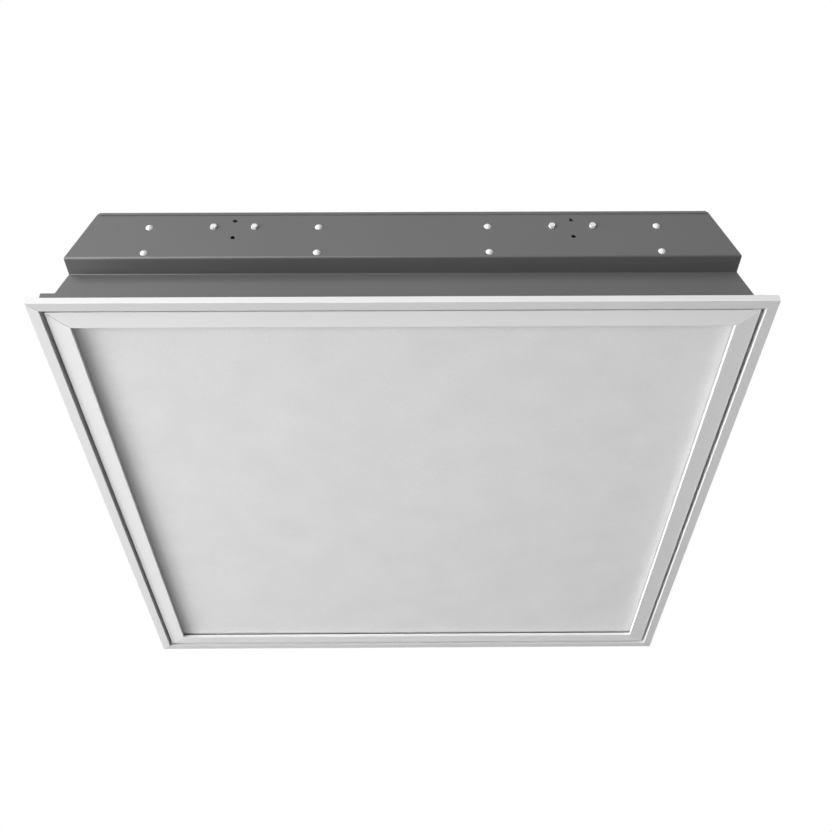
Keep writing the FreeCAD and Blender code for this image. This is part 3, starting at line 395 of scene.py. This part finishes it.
# %% Phosphor-coated glass
def phosphor_tube(name, colour, thin_colour):
    material, tree, shader, place = start_finish(name)
    powder = add(tree, "TexNoise", inputs=grain_of(place, size_mm=1.2, detail=3.0)).outputs["Fac"]
    tone = add(tree, "MapRange", inputs=stretch(powder, 0.0, 0.5)).outputs["Result"]
    dusted = {share: tone, first: linear(colour), second: linear(thin_colour)}
    tree.links.new(add(tree, "Mix", mix_colours, dusted).outputs[mixed], shader.inputs["Base Color"])
    shader.inputs["IOR"].default_value = 1.52
    shader.inputs["Coat Weight"].default_value = 1.0
    shader.inputs["Coat Roughness"].default_value = 0.04
    waves = add(tree, "TexNoise", inputs=grain_of(place, size_mm=12.0)).outputs["Fac"]
    set_surface(tree, shader, powder, low=0.5, high=0.65, depth_mm=0.02, height=waves, strength=0.5)
    return material


# phosphor-coated glass: matt white seen through a clear, glossy skin
phosphor_glass = phosphor_tube("phosphor_coated_soda_glass", "#F3F4F1", "#E7E8E4")
print("lamp glass made")

# %% [markdown]
# ## Foam gasket
# The gasket is a strip of black closed-cell foam with cells of half a millimetre, and its black is also
# painted shade for the dark gap between panel and frame. Its skin is all small domes, with the grooves
# between them painted darker as shade, which the distance to the edge of a Voronoi cell
# draws: it is nothing at the edge of a cell and grows towards its middle.


# %% Black foam
def foam_strip(name, groove_painted_shade_colour, dome_colour, cell_mm):
    material, tree, shader, place = start_finish(name)
    net = {"Vector": place, "Scale": per_metre(cell_mm)}
    edge = add(tree, "TexVoronoi", {"feature": "DISTANCE_TO_EDGE"}, net).outputs["Distance"]
    dome = add(tree, "MapRange", inputs=stretch(edge, 0.0, 1.0, (0.0, 0.25))).outputs["Result"]
    # painted shade: the grooves between the foam's domes take the darker colour
    domes_and_painted_groove_shade = {share: dome, first: linear(groove_painted_shade_colour), second: linear(dome_colour)}
    tree.links.new(add(tree, "Mix", mix_colours, domes_and_painted_groove_shade).outputs[mixed], shader.inputs["Base Color"])
    set_surface(tree, shader, dome, low=0.8, high=0.95, depth_mm=0.1, source=(0.0, 1.0))
    return material


# black foam gasket: a real part, and its black is also painted shade for the dark gap between panel and
# frame
gasket_foam_painted_shade = foam_strip("black_closed_cell_foam_painted_gap_shade", "#101010", "#2B2B2B", cell_mm=0.5)
print("foam made")

# %% [markdown]
# ## Each piece gets its finish
# A node of the CAD keeps its shape and takes its finish in its own material slots. The table is
# by node name, because that is how a workshop's parts list would give it.

# %% Dress the nodes
finish_of = {
    grey_powder_coat: ["housing_shell"] + end_plates + tabs,
    white_powder_coat: ["rim_near", "rim_far", "rim_right"],
    # painted light: the left length has the paler copy of the rim's white coat
    left_rim_painted_light_coat: ["rim_left"],
    white_door_coat: door_rails,
    opal_acrylic: ["diffuser_panel"],
    # painted shade: the gasket's black stands in for the shade in the gap between panel and frame
    gasket_foam_painted_shade: ["diffuser_gasket"],
    zinc_flake: ["bracket_rivets", "hanger_screws"],
    reflector_enamel: trays + ["gear_cover"],
    ballast_enamel: ["ballast"],
    drawn_aluminium: ["side_rivets", "rim_rivets", "hinge_rivets", "hold_down_tab_rivets",
                      "catch_rivets"],
    lamp_cap_aluminium: [lamp + "_caps" for lamp in lamps],
    phosphor_glass: [lamp + "_tube" for lamp in lamps],
    white_polycarbonate: [lamp + "_rotors" for lamp in lamps] + lampholders,
    galvanised_steel: lampholder_brackets + ["hanger_gussets", "gear_bridges", "door_corner_keys",
                                             "hinge_brackets", "hinge_knuckles"],
    zinc_plate: ["gear_cover_screws", "roof_screws", "earth_lug", "hinge_pins"],
    spring_strip: ["diffuser_clips", "catch_springs", "rim_corner_keys"],
    natural_nylon: ["terminal_block"],
    lead_pvc: ["leads"],
    grommet_rubber: ["cable_grommet"],
}
dressed = set()
for finish, names in finish_of.items():
    for name in names:
        for material_slot in nodes[name].material_slots:
            material_slot.material = finish
        dressed.add(name)
print("dressed", len(dressed), "of", len(nodes), "nodes; bare:", sorted(set(nodes) - dressed))

# %% [markdown]
# ## Floor and room
# The light hangs above eye level and is seen from below, so the pale floor lies far under it, as
# in a room. Room and floor are pale where the camera sees them and dimmer as a light, because
# the photograph's surroundings are blown out to white. The Light Path node tells the two apart.

# %% Make the floor
white = (1.0, 1.0, 1.0, 1.0)


def make_floor(height, reach, glow):
    corners = [(x * reach, y * reach, height) for x, y in ((-1, -1), (1, -1), (1, 1), (-1, 1))]
    mesh = bpy.data.meshes.new("studio_floor")
    mesh.from_pydata(corners, [], [(0, 1, 2, 3)])
    floor = bpy.data.objects.new("studio_floor", mesh)
    bpy.context.scene.collection.objects.link(floor)
    material, tree, shader, place = start_finish("pale_matt_floor")
    cloudy = {share: mottle(tree, place, size_mm=400.0, low=0.0, high=1.0),
              first: linear("#E4E4E4"), second: linear("#E8E8E8")}
    tree.links.new(add(tree, "Mix", mix_colours, cloudy).outputs[mixed], shader.inputs["Base Color"])
    shader.inputs["Roughness"].default_value = 0.9
    seen = add(tree, "LightPath").outputs["Is Camera Ray"]
    bright = add(tree, "MapRange", inputs=stretch(seen, 0.0, glow, (0.0, 1.0))).outputs["Result"]
    tree.links.new(bright, shader.inputs["Emission Strength"])
    shader.inputs["Emission Color"].default_value = white
    mesh.materials.append(material)


make_floor(height=-2.6, reach=8.0, glow=0.5)
print("floor made")


# %% Make the white room
def white_room(seen_strength, given_strength):
    world = bpy.data.worlds.new("white_room")
    bpy.context.scene.world = world
    world.use_nodes = True
    tree = world.node_tree
    background = tree.nodes["Background"]
    background.inputs["Color"].default_value = white
    seen = add(tree, "LightPath").outputs["Is Camera Ray"]
    strength = stretch(seen, given_strength, seen_strength, (0.0, 1.0))
    tree.links.new(add(tree, "MapRange", inputs=strength).outputs["Result"], background.inputs["Strength"])


white_room(seen_strength=1.0, given_strength=0.295)
bpy.context.scene.view_settings.view_transform = "Standard"
print("white room made")

# %% [markdown]
# ## Soft lights
# Four large soft lights stand well to the left at different heights below the rim. Together they
# are one tall window: its low part rakes across the panel and its high part fills in, so the left
# rail leaves a dark band of shadow that fades out over two centimetres. Two weaker ones in front
# bring out the end wall, and one behind keeps the far side readable.

# %% Light the scene
spread_degrees = 70
middle = (0.0, 0.0, 0.0)
near_wall = (0.0, -0.3, 0.06)
far_wall = (0.0, 0.3, 0.06)


def soft_light(name, place, aim, width, height, watts):
    lamp = bpy.data.lights.new(name, "AREA")
    lamp.shape = "RECTANGLE"
    lamp.size, lamp.size_y = width, height
    lamp.energy = watts
    lamp.spread = math.radians(spread_degrees)
    holder = bpy.data.objects.new(name, lamp)
    holder.location = place
    holder.rotation_euler = (Vector(aim) - Vector(place)).to_track_quat("-Z", "Y").to_euler()
    bpy.context.scene.collection.objects.link(holder)


# name, place and aim in metres, width and height in metres, watts
soft_lights = [
    ("window_left", (-3.3, 0.0, -0.7), middle, 2.0, 0.6, 15.0),
    ("window_near_left", (-2.6, -1.8, -1.0), middle, 1.2, 0.8, 8.0),
    ("window_low", (-3.1, 0.0, -1.5), middle, 2.0, 0.8, 4.5),
    ("floor_left", (-2.3, 0.0, -2.1), middle, 2.0, 0.8, 2.5),
    ("front", (-1.1, -2.4, -0.1), near_wall, 1.0, 0.6, 3.0),
    ("front_high", (-1.2, -2.0, 0.8), near_wall, 1.0, 0.8, 3.0),
    ("back_high", (1.2, 2.6, 1.4), far_wall, 1.0, 0.8, 6.0),
]
for name, place, aim, width, height, watts in soft_lights:
    soft_light(name, place, aim, width, height, watts)
print(len(soft_lights), "soft lights made")

# %% [markdown]
# ## Camera
# The photograph's view was found from the square rim: its four corners fix the lens and the
# place of the camera, below the light and in front of it, looking up by 38.8 degrees. A turn by
# yaw and pitch gives the line of sight, and a roll about it gives the level of the picture.

# %% Place the camera
yaw, pitch, roll = math.radians(-0.39), math.radians(38.84), math.radians(-0.50)
eye = (0.00526, -0.88730, -0.58969)
focal_length_px = 1054.7
picture_width_px = 832
sensor_width_mm = 36.0

ahead = Vector((-math.sin(yaw) * math.cos(pitch), math.cos(yaw) * math.cos(pitch), math.sin(pitch)))
level = Vector((math.cos(yaw), math.sin(yaw), 0.0))
upright = level.cross(ahead)
right = level * math.cos(roll) + upright * math.sin(roll)
up = upright * math.cos(roll) - level * math.sin(roll)
lens = bpy.data.cameras.new("camera_from_below")
lens.sensor_width = sensor_width_mm
lens.lens = sensor_width_mm * focal_length_px / picture_width_px
camera = bpy.data.objects.new("camera_from_below", lens)
turn = Matrix((right, up, -ahead)).transposed()
camera.matrix_world = Matrix.Translation(eye) @ turn.to_4x4()
bpy.context.scene.collection.objects.link(camera)
bpy.context.scene.camera = camera
print("camera lens in mm:", round(lens.lens, 2))
